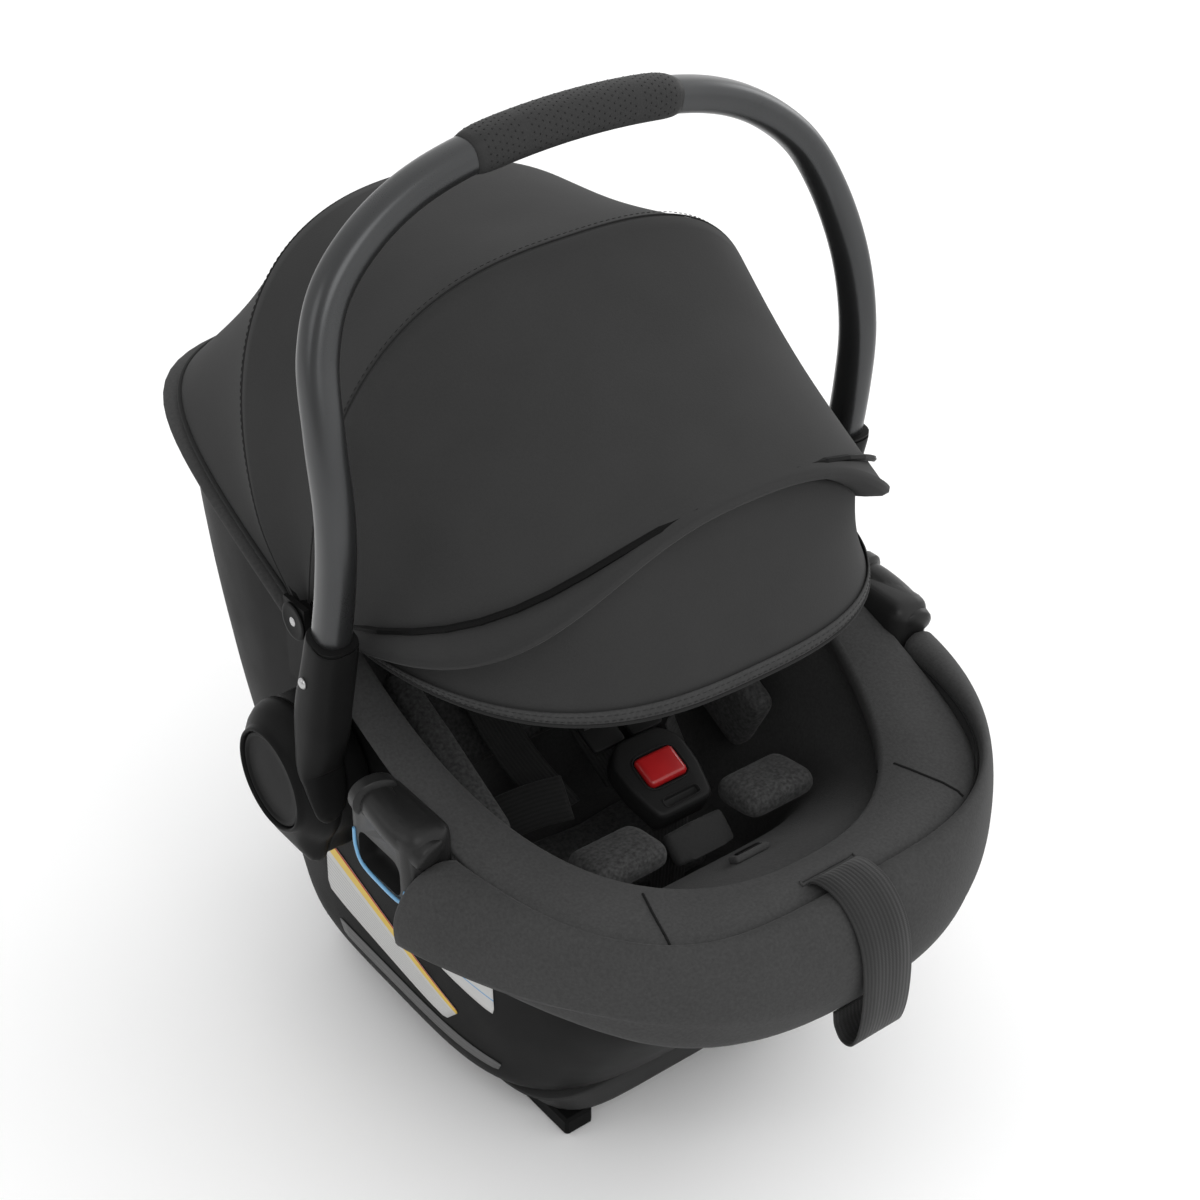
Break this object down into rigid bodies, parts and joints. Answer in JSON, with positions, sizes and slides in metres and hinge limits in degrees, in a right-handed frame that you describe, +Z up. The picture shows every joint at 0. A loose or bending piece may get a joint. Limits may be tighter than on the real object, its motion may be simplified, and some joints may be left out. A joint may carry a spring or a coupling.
{
  "type": "infant car seat",
  "caption": "Rear-facing infant carrier seat with a padded bucket, buckled harness, swinging arch handle and folding canopy with a pull-out shade.",
  "frame": {"origin": "under the middle of the whole seat, on the surface it stands on", "axes": "+X across the seat to its right as seen from the foot end, +Y towards the head end, +Z up"},
  "size_m": [0.432, 0.5858, 0.65],
  "materials": {
    "cover_fabric": "plain-weave polyester, matt",
    "canopy_fabric": "smooth knitted polyester, matt",
    "insert_fabric": "heathered knit, matt",
    "shell_plastic": "moulded, fine texture",
    "hub_plastic": "moulded, fine texture",
    "handle_paint": "satin gunmetal",
    "grip_leather": "perforated",
    "steel": "satin",
    "webbing": "woven webbing",
    "foam": "expanded foam",
    "button_red": "semi-gloss",
    "mark_blue": "semi-gloss"
  },
  "bodies": {
    "carrier": {"shell": "shell_plastic", "foam_liner": "foam", "seat_liner": "cover_fabric", "base_pan": "shell_plastic", "runner_left": "shell_plastic", "runner_right": "shell_plastic", "latch_bar_front": "steel", "latch_bar_rear": "steel", "rim_cover": "cover_fabric", "adapter_socket_left": "hub_plastic", "adapter_socket_right": "hub_plastic", "adapter_mark_left": "mark_blue", "adapter_mark_right": "mark_blue", "handle_axle_left": "steel", "handle_axle_right": "steel", "canopy_bracket_left": "hub_plastic", "canopy_bracket_right": "hub_plastic", "back_pad": "insert_fabric", "head_support": "insert_fabric", "side_bolster_left": "insert_fabric", "side_bolster_right": "insert_fabric", "leg_pad_left": "insert_fabric", "leg_pad_right": "insert_fabric", "seat_pad": "insert_fabric", "crotch_pad": "insert_fabric", "shoulder_strap_left": "webbing", "shoulder_strap_right": "webbing", "lap_strap_left": "webbing", "lap_strap_right": "webbing", "crotch_strap": "webbing", "buckle": "shell_plastic", "tongue_left": "steel", "tongue_right": "steel", "adjuster_frame": "hub_plastic", "pull_strap": "webbing"},
    "handle": {"handle_tube": "handle_paint", "grip": "grip_leather", "yoke_left": "hub_plastic", "yoke_right": "hub_plastic", "yoke_rivet_left": "steel", "yoke_rivet_right": "steel", "hub_inner_left": "hub_plastic", "hub_inner_right": "hub_plastic", "hub_outer_left": "hub_plastic", "hub_outer_right": "hub_plastic"},
    "release_left": {"release_button_left": "hub_plastic"},
    "release_right": {"release_button_right": "hub_plastic"},
    "canopy_rear": {"bow_rear": "shell_plastic", "canopy_rear_panel": "canopy_fabric"},
    "canopy_middle": {"bow_middle": "shell_plastic", "canopy_middle_panel": "canopy_fabric"},
    "canopy_visor": {"bow_visor": "shell_plastic", "canopy_front_panel": "canopy_fabric"},
    "canopy_shade": {"bow_shade": "shell_plastic", "canopy_shade_panel": "canopy_fabric"},
    "buckle_key": {"buckle_button": "button_red"},
    "adjuster": {"adjuster_key": "hub_plastic"},
    "base_release": {"release_lever": "hub_plastic"}
  },
  "joints": [
    {"name": "handle_swing", "type": "hinge", "parent": "carrier", "child": "handle", "pos_m": [0, 0.0403, 0.245], "axis": [-1, 0, 0], "range_deg": [0, 105]},
    {"name": "release_left_press", "type": "slide", "parent": "handle", "child": "release_left", "axis": [1, 0, 0], "range_m": [0, 0.004], "stiffness_N_per_m": 900, "springref_m": -0.002},
    {"name": "release_right_press", "type": "slide", "parent": "handle", "child": "release_right", "axis": [-1, 0, 0], "range_m": [0, 0.004], "stiffness_N_per_m": 900, "springref_m": -0.002},
    {"name": "canopy_rear_fold", "type": "hinge", "parent": "carrier", "child": "canopy_rear", "pos_m": [0, 0.0483, 0.347], "axis": [-1, 0, 0], "range_deg": [0, 18.2], "deforming": ["canopy_rear_panel"]},
    {"name": "canopy_middle_fold", "type": "hinge", "parent": "canopy_rear", "child": "canopy_middle", "pos_m": [0, 0.0483, 0.347], "axis": [-1, 0, 0], "range_deg": [0, 37.2], "deforming": ["canopy_middle_panel"]},
    {"name": "canopy_fold", "type": "hinge", "parent": "canopy_middle", "child": "canopy_visor", "pos_m": [0, 0.0483, 0.347], "axis": [-1, 0, 0], "range_deg": [0, 40], "deforming": ["canopy_front_panel"]},
    {"name": "shade_fold", "type": "hinge", "parent": "canopy_visor", "child": "canopy_shade", "pos_m": [0, 0.0483, 0.347], "axis": [-1, 0, 0], "range_deg": [0, 24], "deforming": ["canopy_shade_panel"]},
    {"name": "buckle_press", "type": "slide", "parent": "carrier", "child": "buckle_key", "axis": [0, 0.4067, -0.9135], "range_m": [0, 0.0025], "stiffness_N_per_m": 900, "springref_m": -0.002},
    {"name": "adjuster_press", "type": "slide", "parent": "carrier", "child": "adjuster", "axis": [0, -0.5878, -0.809], "range_m": [0, 0.0025], "stiffness_N_per_m": 700, "springref_m": -0.002},
    {"name": "base_release_pull", "type": "slide", "parent": "carrier", "child": "base_release", "axis": [0, 0, 1], "range_m": [0, 0.008], "stiffness_N_per_m": 500, "springref_m": -0.004}
  ],
  "couplings": [
    {"joint": "canopy_rear_fold", "follows": "canopy_fold", "ratio": 0.45},
    {"joint": "canopy_middle_fold", "follows": "canopy_fold", "ratio": 0.92}
  ]
}
